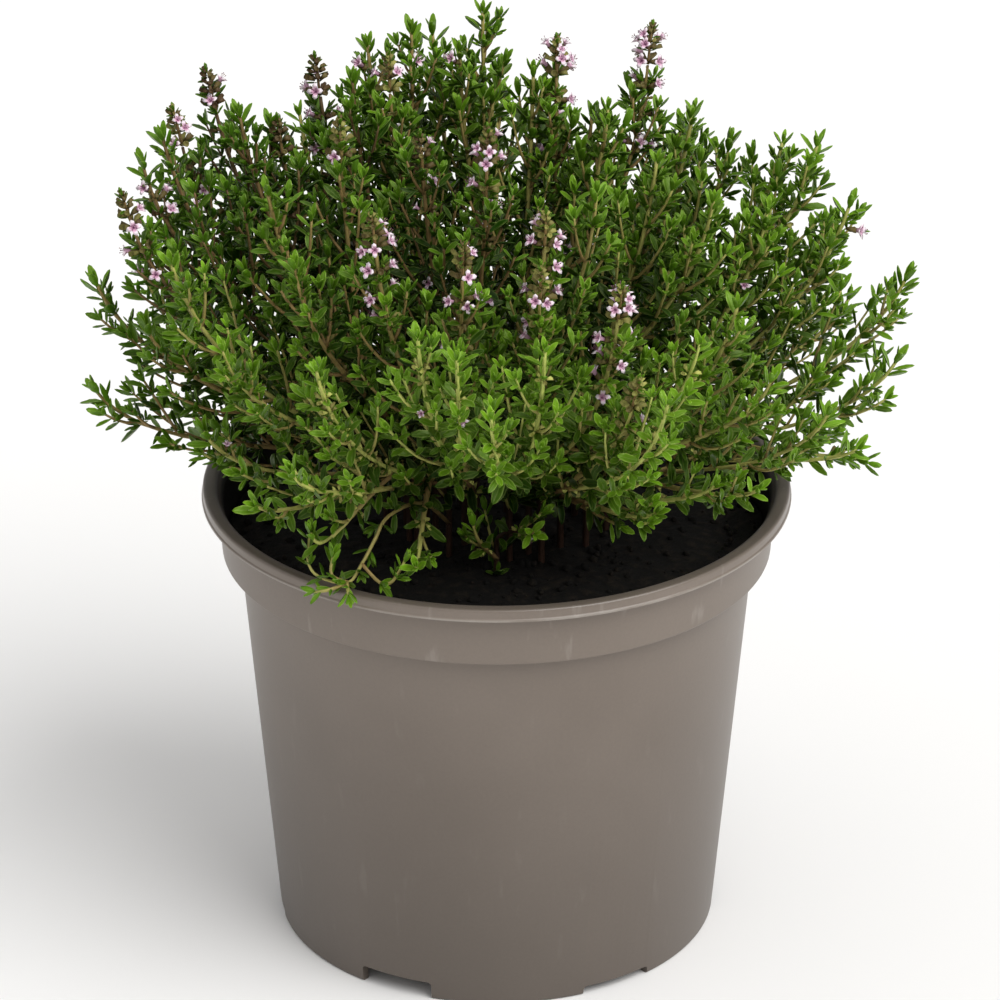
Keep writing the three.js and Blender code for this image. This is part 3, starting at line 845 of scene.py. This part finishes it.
def calyxMesh():
    # a ribbed cup with five short teeth, its foot at the origin and its mouth along +Z
    bm = newGrowth()
    layer = bm.verts.layers.float_color["growth"]
    addCone(bm, 10, calyx["length"], calyx["footRadius"], calyx["mouthRadius"])
    bmesh.ops.translate(bm, verts=bm.verts, vec=up * calyx["length"] / 2)
    brim = calyx["length"] - 0.1 * mm
    mouth = [f for f in bm.faces if f.calc_center_median().z > brim]
    bmesh.ops.inset_region(bm, faces=mouth, thickness=calyx["wall"])
    for v in bm.verts:
        outer = math.hypot(v.co.x, v.co.y) > calyx["mouthRadius"] - 0.15 * mm
        tooth = round(math.degrees(math.atan2(v.co.y, v.co.x)) / 36) % 2
        if v.co.z > brim and not outer:
            v.co.z -= calyx["hollow"]
        elif v.co.z > brim and tooth:
            v.co.z += calyx["toothLength"]
        v[layer] = (v.co.z / (calyx["length"] + calyx["toothLength"]), 0.5, 0, 0)
    useSlot(bm, calyxSlot)
    return keepMesh("calyx", bm)


def addStamens(bm, draw):
    # thin stalks that lean out of the mouth, each with a dark tip
    for i in range(flower["stamens"]):
        turn = math.pi / 4 + i * 2 * math.pi / flower["stamens"] + draw(-0.3, 0.3)
        out = outwardsAt(turn)
        foot = out * 0.2 * mm + up * 3.8 * mm
        lean = up.rotation_difference(out * 0.28 + up).to_matrix().to_4x4()
        place = Matrix.Translation(foot) @ lean
        length = draw(*flower["stamenLength"])
        radius = flower["stamenRadius"]
        start = len(bm.faces)
        addCone(bm, 3, length, radius, radius, place @ Matrix.Translation(up * length / 2))
        useSlot(bm, petalSlot, start)
        start = len(bm.faces)
        tip = place @ Matrix.Translation(up * length)
        bmesh.ops.create_icosphere(bm, subdivisions=1, radius=flower["antherRadius"], matrix=tip)
        useSlot(bm, antherSlot, start)


def flowerMesh(name, lobeReach, draw):
    # a calyx with a lobed tube in it: foot at the origin, mouth along +Z, 5 mm long and about 4.4 mm wide
    bm = newGrowth()
    addCopy(bm, calyxTemplate, Matrix.Identity(4), 0.3)
    start = len(bm.verts)
    startFaces = len(bm.faces)
    sides = 16
    addCone(bm, sides, flower["tubeLength"], flower["tubeRadius"], flower["mouthRadius"])
    bm.verts.ensure_lookup_table()
    bm.faces.ensure_lookup_table()
    middle = flower["tubeStart"] + flower["tubeLength"] / 2
    bmesh.ops.translate(bm, verts=bm.verts[start:], vec=up * middle)
    mouth = [f for f in bm.faces[startFaces:] if f.calc_center_median().z > middle + 1.1 * mm]
    brim = bmesh.ops.extrude_face_region(bm, geom=mouth)["geom"]
    bmesh.ops.delete(bm, geom=mouth, context="FACES_ONLY")
    for v in [v for v in brim if isinstance(v, bmesh.types.BMVert)]:
        turn = math.atan2(v.co.y, v.co.x)
        lobe = 0.5 + 0.5 * math.cos(flower["lobes"] * turn)
        reach = (flower["lobeStart"] + lobeReach * lobe ** 0.6) * mm
        v.co = (reach * math.cos(turn), reach * math.sin(turn), (4.5 + 0.25 * lobe) * mm)
    lip = [f for f in brim if isinstance(f, bmesh.types.BMFace)]
    bmesh.ops.inset_region(bm, faces=lip, thickness=0.5 * mm, depth=-0.15 * mm)
    throats = [f for f in bm.faces if len(f.verts) == sides and f.calc_center_median().z > 4 * mm]
    for throat in throats:
        centre = throat.calc_center_median()
        for v in throat.verts:
            v.co = centre.lerp(v.co, 0.42)
            v.co.z -= flower["throatDepth"]
    layer = bm.verts.layers.float_color["growth"]
    bm.verts.ensure_lookup_table()
    for v in bm.verts[start:]:
        v[layer] = (min(1, math.hypot(v.co.x, v.co.y) / (2.2 * mm)), 0.5, 0, 0)
    useSlot(bm, petalSlot, startFaces)
    addStamens(bm, draw)
    bmesh.ops.recalc_face_normals(bm, faces=bm.faces)
    return keepMesh(name, bm)


# lines that run along a leaf: place across it, height in grooves, and mark: 0 midrib, 0.5 margin, 1 beneath
leafLines = [(1, 0, 0.5), (0.55, 0.6, 0.25), (0, -0.6, 0.0), (-0.55, 0.6, 0.25), (-1, 0, 0.5), (0, 0, 1)]
smallLeafLines = [(1, 0, 0.5), (0, -0.4, 0.0), (-1, 0, 0.5), (0, 0, 1)]
# leaf pairs of each tuft, from below: height in mm, lean in degrees, size and age
tufts = {
    "crown": [(-2.2, 40, 0.98, -0.06), (-0.9, 25, 0.9, 0.04), (0.1, 13, 0.62, 0.16)],
    "wide": [(-2.4, 52, 0.96, -0.06), (-0.8, 33, 0.92, 0.04), (0, 18, 0.66, 0.16)],
    "tight": [(-2.6, 30, 0.92, -0.06), (-1.4, 18, 0.96, 0.04), (0, 9, 0.7, 0.14)],
    "bud": [(0.3, 46, 0.58, -0.04), (1.2, 24, 0.44, 0.06)],
}
leafMeshes = [
    leafMesh("leafFlat", 0.03, 0.18, leafLines),
    leafMesh("leafArched", 0.16, 0.12, leafLines),
    leafMesh("leafFolded", 0.08, 0.42, leafLines),
    leafMesh("leafUpcurved", -0.1, 0.3, leafLines),
]
smallLeaves = [
    leafMesh("smallFlat", 0.04, 0.25, smallLeafLines, 4),
    leafMesh("smallUpcurved", -0.1, 0.4, smallLeafLines, 4),
]
templateDraw = makeDraw(9)
tipTufts = []
for kind in ("crown", "wide", "tight", "crown", "wide"):
    tipTufts.append(tuftMesh("tipTuft", tufts[kind], leafMeshes, templateDraw))
sideTufts = [tuftMesh("sideTuft", tufts["bud"], smallLeaves, templateDraw) for i in range(4)]
calyxTemplate = calyxMesh()
flowerMeshes = [flowerMesh("flower", reach, templateDraw) for reach in flower["lobeReaches"]]
print("leaf and flower shapes made")


def alignTo(at, along, side, size=1):
    # a template's +Z along the stem and its +X to the side
    return basis(side, along.cross(side), along, at) @ Matrix.Scale(size, 4)


def stemTubes(bm, strands):
    # square stems, a little swollen at the leaf pairs; a strand is a shoot with its widths and ages at both
    # ends, where its knots are, how far up it stays brown and then ripens, and how far up it is in the shade
    curve = bpy.data.curves.new("stems", "CURVE")
    curve.dimensions = "3D"
    curve.bevel_depth = 1
    curve.bevel_resolution = 0
    curve.use_fill_caps = True
    shades = []
    for strand in strands:
        shoot = strand["shoot"]
        knots = strand.get("knots", [])
        spline = curve.splines.new("POLY")
        spline.points.add(len(shoot["points"]) - 1)
        ages = []
        for k, point in enumerate(shoot["points"]):
            share = k / (len(shoot["points"]) - 1)
            distance = shoot["distance"][k]
            swollen = any(abs(distance - knot) < 0.8 * mm for knot in knots)
            spline.points[k].co = (*point, 1)
            spline.points[k].radius = 0.62 * mixed(strand["widths"], share) * (1.22 if swollen else 1)
            ripe = max(0, distance - strand.get("dark", 0)) / strand.get("ripens", shoot["length"])
            # painted shade: the tone darkens the stem towards its foot
            shaded = min(1, max(0, 1.6 - 1.6 * distance / strand.get("shade", 1 * mm)))
            ages.append((share, 0.5, mixed(strand["ages"], min(1, ripe)), -0.9 * shaded))
        shades.append(ages)
    holder = addObject("stems", curve)
    bpy.context.view_layer.update()
    mesh = bpy.data.meshes.new_from_object(holder.evaluated_get(bpy.context.evaluated_depsgraph_get()))
    bpy.data.objects.remove(holder)
    # the mesh holds the end faces first, last strand first, and then the rings; each has four corners
    rings = [shade for ages in reversed(shades) for shade in (ages[-1], ages[0])]
    rings += [shade for ages in shades for shade in ages]
    data = mesh.attributes.new("growth", "FLOAT_COLOR", "POINT").data
    for i, entry in enumerate(data):
        entry.color = rings[i // 4]
    part = bmesh.new()
    part.from_mesh(mesh)
    bmesh.ops.remove_doubles(part, verts=part.verts, dist=1e-6)
    bmesh.ops.recalc_face_normals(part, faces=part.faces)
    useSlot(part, barkSlot)
    mergeInto(bm, part)


spike = {
    "length": 8.5 * mm,
    # whorls from the top of the head down: height above the shoot's end in mm, calyces, lean in degrees, size
    "headWhorls": [
        (7.4, 3, 12, 0.5), (6.3, 4, 28, 0.58), (4.9, 5, 44, 0.66), (3.2, 6, 56, 0.74), (0.4, 6, 64, 0.8),
    ],
    "lowerWhorls": [(-5.4, 6, 62, 0.8), (-11.6, 6, 66, 0.78), (-18.4, 5, 70, 0.74)],
    "openShare": 0.2,
    "flowerSize": 0.98,
}


def addWhorl(part, at, along, side, calyces, lean, size, openShare, olive, draw):
    # a ring of calyces on short stalks, some with an open flower, over a pair of small leaves
    first = draw(0, 1)
    for i in range(calyces):
        out = Matrix.Rotation(first + i * 2 * math.pi / calyces + draw(-0.2, 0.2), 3, along) @ side
        slant = math.radians(lean + draw(-12, 12))
        facing = (along * math.cos(slant) + out * math.sin(slant)).normalized()
        across = facing.cross(along).normalized()
        start = at + facing * draw(0.4, 1.0) * mm
        if draw() < openShare:
            place = alignTo(start, facing, across, size * spike["flowerSize"] * draw(0.9, 1.1))
            addCopy(part, pick(draw, flowerMeshes), place)
        else:
            place = alignTo(start, facing, across, size * draw(0.82, 1.08))
            addCopy(part, calyxTemplate, place, olive + draw(-0.28, 0.2), draw(-0.15, 0.15))
    below = at - along * 0.3 * mm
    bracts = Matrix.Rotation(first, 3, along) @ side
    addPair(part, leafMeshes, draw, below, along, bracts, 1.15, 0.8 * size, 0.45 * olive, -0.1)


def addHead(part, shoot, lift, openShare, olive, draw):
    # the crowded whorls at a flowering shoot's end, topped by a few small leaves
    tip, along, side = onShoot(shoot, shoot["length"])
    foot = tip + along * lift
    for height, calyces, lean, size in spike["headWhorls"]:
        at = foot + along * height * mm
        opening = openShare if height < 5 else 0  # the top is still in bud
        addWhorl(part, at, along, side, calyces, lean, size, opening, olive, draw)
    place = alignTo(foot + along * spike["length"], along, side, 0.5)
    addCopy(part, tipTufts[2], place, 0.3 + 0.4 * olive)


foliage = {
    "firstNode": 4.4,  # mm from the tip down to the first leaf pair
    "nodeGaps": [3.5, 3.8, 4.1, 4.4, 4.7],
    "lowerGap": 5.3,
    "firstTwig": 10.5,
    "twigShare": 0.46,  # a twig's length for each mm that it stands below the tip
    "longestTwig": 23.0,
    "sprawlingGap": 14,  # mm between twigs on a sprawling shoot
}
# middle height and half sizes in mm of the egg that holds all twigs, and of the one that shade is judged by
bush = {"outline": (126, 95, 87, 83), "shade": (112, 86, 80, 92)}
# how a plant grows: leaf size, stretch of the gaps between leaf pairs, share of nodes with a tuft in each
# axil, gap in mm between twigs, share of nodes with a ring of calyces
habits = {
    "bushy": {"leafSize": 1.0, "stretch": 1.0, "tufted": 0.8, "twigGap": 4.4, "seeded": 0.1},
    "filled": {"leafSize": 1.0, "stretch": 1.0, "tufted": 0.85, "twigGap": 3.6, "seeded": 0.06},
    "front": {"leafSize": 1.0, "stretch": 1.1, "tufted": 0.5, "twigGap": 7.5, "seeded": 0.3},
    "open": {"leafSize": 1.08, "stretch": 1.15, "tufted": 0.55, "twigGap": 5.2, "seeded": 0.06},
    "sparse": {"leafSize": 0.85, "stretch": 1.15, "tufted": 0.2, "twigGap": 60, "seeded": 0},
}


def nodesDown(length, bareShare, stretch=1.0):
    # distances from the root at which leaf pairs stand, from the tip down
    places = []
    down = foliage["firstNode"] * mm
    k = 0
    while length - down > bareShare * length:
        places.append(length - down)
        gaps = foliage["nodeGaps"]
        down += stretch * (gaps[k] if k < len(gaps) else foliage["lowerGap"]) * mm
        k += 1
    return places


def fromMiddle(point, egg):
    # 0 in an egg's middle and 1 on its outside
    middle, wide, deep, tall = egg
    return Vector((point.x / wide, point.y / deep, (point.z - middle * mm) / tall)).length / mm


def insideBush(point):
    # within the plant's outline, and off the pot's rim and the peat
    if fromMiddle(point, bush["outline"]) > 1:
        return False
    if math.hypot(point.x, point.y) < pot["rimInnerRadius"] - 3 * mm:
        return point.z > soil["level"] + 4 * mm
    return point.z > pot["height"] + 3 * mm


def depthAt(point):
    # 0 on the plant's outside and 1 deep inside
    return min(1, max(0, 1 - fromMiddle(point, bush["shade"])) * 2.2)


def dressShoot(bm, shoot, draw, looks):
    # all leaves of one shoot or twig, from its tip down, paler and greener outside than deep in the bush,
    # where they are older and darkened as painted shade
    part = newGrowth()
    freshness = looks["freshness"]
    point, along, side = onShoot(shoot, shoot["length"])
    if looks["crowned"]:
        turn = Matrix.Rotation(draw(0, 3), 4, "Z")
        size = looks["leafSize"] * draw(0.82, 1.1)
        place = alignTo(point, along, side) @ turn @ Matrix.Scale(size, 4)
        addCopy(part, pick(draw, tipTufts), place, freshness + 0.1, draw(-0.1, 0.15))
    for k, distance in enumerate(nodesDown(shoot["length"], looks["bare"], looks["stretch"])):
        at, along, side = onShoot(shoot, distance)
        if k % 2:
            side = along.cross(side)
        side = Matrix.Rotation(draw(-0.25, 0.25), 3, along) @ side
        lean = math.radians(min(40 + 4 * k, 66) + draw(-9, 9))
        deep = depthAt(at)
        # painted shade: leaves deep in the bush darker, and also older
        age = freshness - 0.04 * k - 0.3 * deep + draw(-0.1, 0.1)
        size = looks["leafSize"] * min(0.94 + 0.05 * k, 1.18) * draw(0.84, 1.12)
        toneAndShade = draw(-0.22, 0.22) - 0.46 * deep
        addPair(part, leafMeshes, draw, at, along, side, lean, size, age, toneAndShade)
        if draw() < looks["seeded"] and k > 0:
            addWhorl(part, at, along, side, 5, 58, draw(0.45, 0.62), 0.012, looks["olive"], draw)
            continue
        for sign in (1, -1):
            if draw() > looks["tufted"]:  # a bare axil
                continue
            out = (along * draw(0.8, 1.2) + side * sign * draw(0.5, 0.9)).normalized()
            across = out.cross(side).normalized()
            bigger = draw(0.8, 1.2) * (1 + 0.03 * k)
            place = alignTo(at + side * sign * 0.4 * mm, out, across, bigger)
            addCopy(part, pick(draw, sideTufts), place, age + 0.15, toneAndShade)
    mergeInto(bm, part)


def twigsOf(shoot, draw, lowest, gap):
    # side shoots that leave at a slant and turn up beside their shoot, longer further down
    twigs = []
    turn = draw(0, 6)
    down = foliage["firstTwig"] * draw(0.8, 1.3)
    while shoot["length"] - down * mm > lowest * shoot["length"]:
        at, along, side = onShoot(shoot, shoot["length"] - down * mm)
        outwards = Matrix.Rotation(turn, 3, along) @ side
        longest = min(foliage["twigShare"] * down + 3.5, foliage["longestTwig"])
        length = longest * draw(0.75, 1.2) * mm
        away = (along * 0.7 + outwards * 0.7).normalized()
        rising = (along * 0.6 + up * 0.8).normalized()
        first = at + away * length * 0.3
        end = at + (away * 0.6 + rising * 0.5).normalized() * length
        second = end - (away * 0.35 + rising * 0.65).normalized() * length * 0.35
        if insideBush(end):
            twigs.append(makeShoot(curveThrough(at, first, second, end, 2.2 * mm), draw(0, 3)))
        turn += math.pi / 2 + draw(-0.5, 0.5)
        down += draw(0.7, 1.3) * gap
    return twigs


def smoothLine(points, steps=4):
    # a curve through all of the points
    line = []
    for i in range(len(points) - 1):
        before, start, end = points[max(i - 1, 0)], points[i], points[i + 1]
        after = points[min(i + 2, len(points) - 1)]
        first = start + (end - before) / 6
        second = end - (after - start) / 6
        line += interpolate_bezier(start, first, second, end, steps + 1)[:-1]
    return line + [points[-1]]


def nearestPlace(shoots, target):
    # the point, direction and side of the shoots that lies nearest to a place, off the lowest fifth
    places = [onShoot(shoot, shoot["length"] * i / 60) for shoot in shoots for i in range(12, 60)]
    return min(places, key=lambda place: (place[0] - target).length)


def addLoneFlower(bm, shoots, mouth, draw):
    # a flower that leaves the nearest shoot and opens at a given place
    reach = 4.4 * mm
    target = Vector(mouth) * mm
    at, along, side = nearestPlace(shoots, target - up * 2.5 * mm)
    facing = (target - at).normalized()
    size = min(max((target - at).length / reach, 0.6), 0.85)
    foot = target - facing * reach * size
    place = alignTo(foot, facing, facing.cross(along).normalized(), size)
    part = newGrowth()
    addCopy(part, pick(draw, flowerMeshes), place)
    mergeInto(bm, part)


def isLow(shoot):
    # the low outer shoots are thinly leaved
    return shoot["points"][-1].z < 131 * mm


def shootStrand(shoot, forked, habit, green):
    width = stem["width"] * (0.88 if forked else 1)
    return {
        "shoot": shoot,
        "widths": (width, width * 0.5),
        "knots": nodesDown(shoot["length"], 0.2, habit["stretch"]),
        "ages": (0.5 * green if forked else 0, green),
        "ripens": 28 * mm,
        "dark": 0 if forked else 24 * mm,
        "shade": 12 * mm if forked else 50 * mm,
    }


def makeLeafyStem(plant):
    draw = plant["draw"]
    woody = plant["woody"]
    heads = plant.get("heads", [])
    habit = habits[plant["habit"]]
    green = 1 - 0.88 * woody
    strands = []
    twigs = []
    for n, shoot in enumerate(plant["shoots"]):
        strands.append(shootStrand(shoot, n > 0, habit, green))
        gap = habit["twigGap"] * (2 if isLow(shoot) else 1)
        if n in plant.get("sprawling", []):
            gap = foliage["sprawlingGap"]
        twigs += twigsOf(shoot, draw, 0.3 if n else 0.2, gap)
    for twig in twigs:
        strands.append({"shoot": twig, "widths": (0.66 * mm, 0.42 * mm), "ages": (0.75 * green, green)})
    trails = []
    for line in runners.get(plant["number"], []):
        trails.append(makeShoot(smoothLine([Vector(place) * mm for place in line]), 0))
    for trail in trails:
        strands.append({"shoot": trail, "widths": (0.85 * mm, 0.5 * mm), "ages": (0.5, 0.75)})
    bm = newGrowth()
    stemTubes(bm, strands)
    looks = {**habit, "freshness": 0.76 - 0.5 * woody, "bare": 0.2, "olive": 1 - 0.9 * woody}
    looks["seeded"] += 0.25 * woody * woody
    for n, shoot in enumerate(plant["shoots"]):
        looks["crowned"] = n not in plant.get("flowering", []) and n not in heads
        own = {**looks, "tufted": 0.25} if isLow(shoot) else looks
        dressShoot(bm, shoot, draw, own)
        if n in heads:
            part = newGrowth()
            addHead(part, shoot, -6 * mm, 0.04, looks["olive"], draw)
            mergeInto(bm, part)
    looks["crowned"] = True
    for twig in twigs:
        own = {**looks, "freshness": looks["freshness"] - draw(0, 0.25), "bare": 0.16, "seeded": 0.02}
        own.update({"tufted": 0.4 * habit["tufted"], "leafSize": draw(0.84, 1.04)})
        dressShoot(bm, twig, draw, own)
    for trail in trails:
        dressShoot(bm, trail, draw, {**looks, **habits["sparse"], "bare": 0.1})
    for mouth in loneFlowers.get(plant["number"], []):
        addLoneFlower(bm, plant["shoots"], mouth, draw)
    number = f"{plant['number']:02d}"
    finishPiece("leafyStem" + number, bm, plantMaterials, "stem_" + number)


def makeFlowerHead(plant, n):
    draw = plant["draw"]
    shoot = plant["shoots"][n]
    tip, along, side = onShoot(shoot, shoot["length"])
    foot = tip + along * 0.3 * mm
    bm = newGrowth()
    axis = makeShoot([foot + along * spike["length"] * i / 6 for i in range(7)], 0)
    olive = 0.85 - 0.7 * plant["woody"] * draw(0.6, 1.1)
    stemTubes(bm, [{"shoot": axis, "widths": (0.65 * mm, 0.4 * mm), "ages": (0.6 * olive, 0.8 * olive)}])
    part = newGrowth()
    openShare = plant.get("openShares", {}).get(n, spike["openShare"])
    addHead(part, shoot, 0.3 * mm, openShare, olive, draw)
    for height, calyces, lean, size in spike["lowerWhorls"]:
        at, direction, across = onShoot(shoot, shoot["length"] + height * mm)
        addWhorl(part, at, direction, across, calyces, lean, size, openShare, olive, draw)
    mergeInto(bm, part)
    name = f"{plant['number']:02d}" + "abc"[n]
    finishPiece("flowerHead" + name, bm, plantMaterials, "bloom_" + name)


plants = growStems()
for plant in plants:
    makeLeafyStem(plant)
print(len(plants), "leafy stems made")
for plant in plants:
    for n in plant.get("flowering", []):
        makeFlowerHead(plant, n)
print("flower heads made")

studio = {
    "floorColour": (238, 237, 235),
    "floorSize": 6.0,
    "skyColour": (250, 250, 252),
    "skyStrength": 0.41,
    # strength, width in degrees and direction of each soft light
    "suns": [(2.35, 50, (0.7, -0.55, 1.0)), (1.0, 120, (-0.1, -0.1, 1.0))],
}


def makeStudio():
    bm = bmesh.new()
    bmesh.ops.create_grid(bm, x_segments=1, y_segments=1, size=studio["floorSize"] / 2)
    floor = addObject("floor", keepMesh("floor", bm))
    shader = Shader("paleFloor", 0.7, 0.2)
    shader.colourBy(linear(*studio["floorColour"]))
    floor.data.materials.append(shader.material)
    world = bpy.data.worlds.new("studio")
    world.use_nodes = True
    sky = world.node_tree.nodes["Background"]
    sky.inputs["Color"].default_value = linear(*studio["skyColour"])
    sky.inputs["Strength"].default_value = studio["skyStrength"]
    bpy.context.scene.world = world
    for strength, wide, source in studio["suns"]:
        sun = bpy.data.lights.new("sun", "SUN")
        sun.energy = strength
        sun.angle = math.radians(wide)
        addObject("sun", sun).rotation_euler = Vector(source).to_track_quat("Z", "Y").to_euler()


view = {
    "distance": 1.2,
    "elevationDegrees": 25.46,
    "target": Vector((0.77 * mm, 0, 99.9 * mm)),
    "lens": 195.2,
}


def makeCamera():
    camera = bpy.data.cameras.new("camera")
    camera.lens = view["lens"]
    camera.sensor_width = 36
    holder = addObject("camera", camera)
    tilt = math.radians(view["elevationDegrees"])
    back = Vector((0, -math.cos(tilt), math.sin(tilt))) * view["distance"]
    holder.location = view["target"] + back
    holder.rotation_euler = (-back).to_track_quat("-Z", "Y").to_euler()
    bpy.context.scene.camera = holder
    bpy.context.scene.view_settings.view_transform = "Standard"


makeStudio()
makeCamera()
print("scene done")
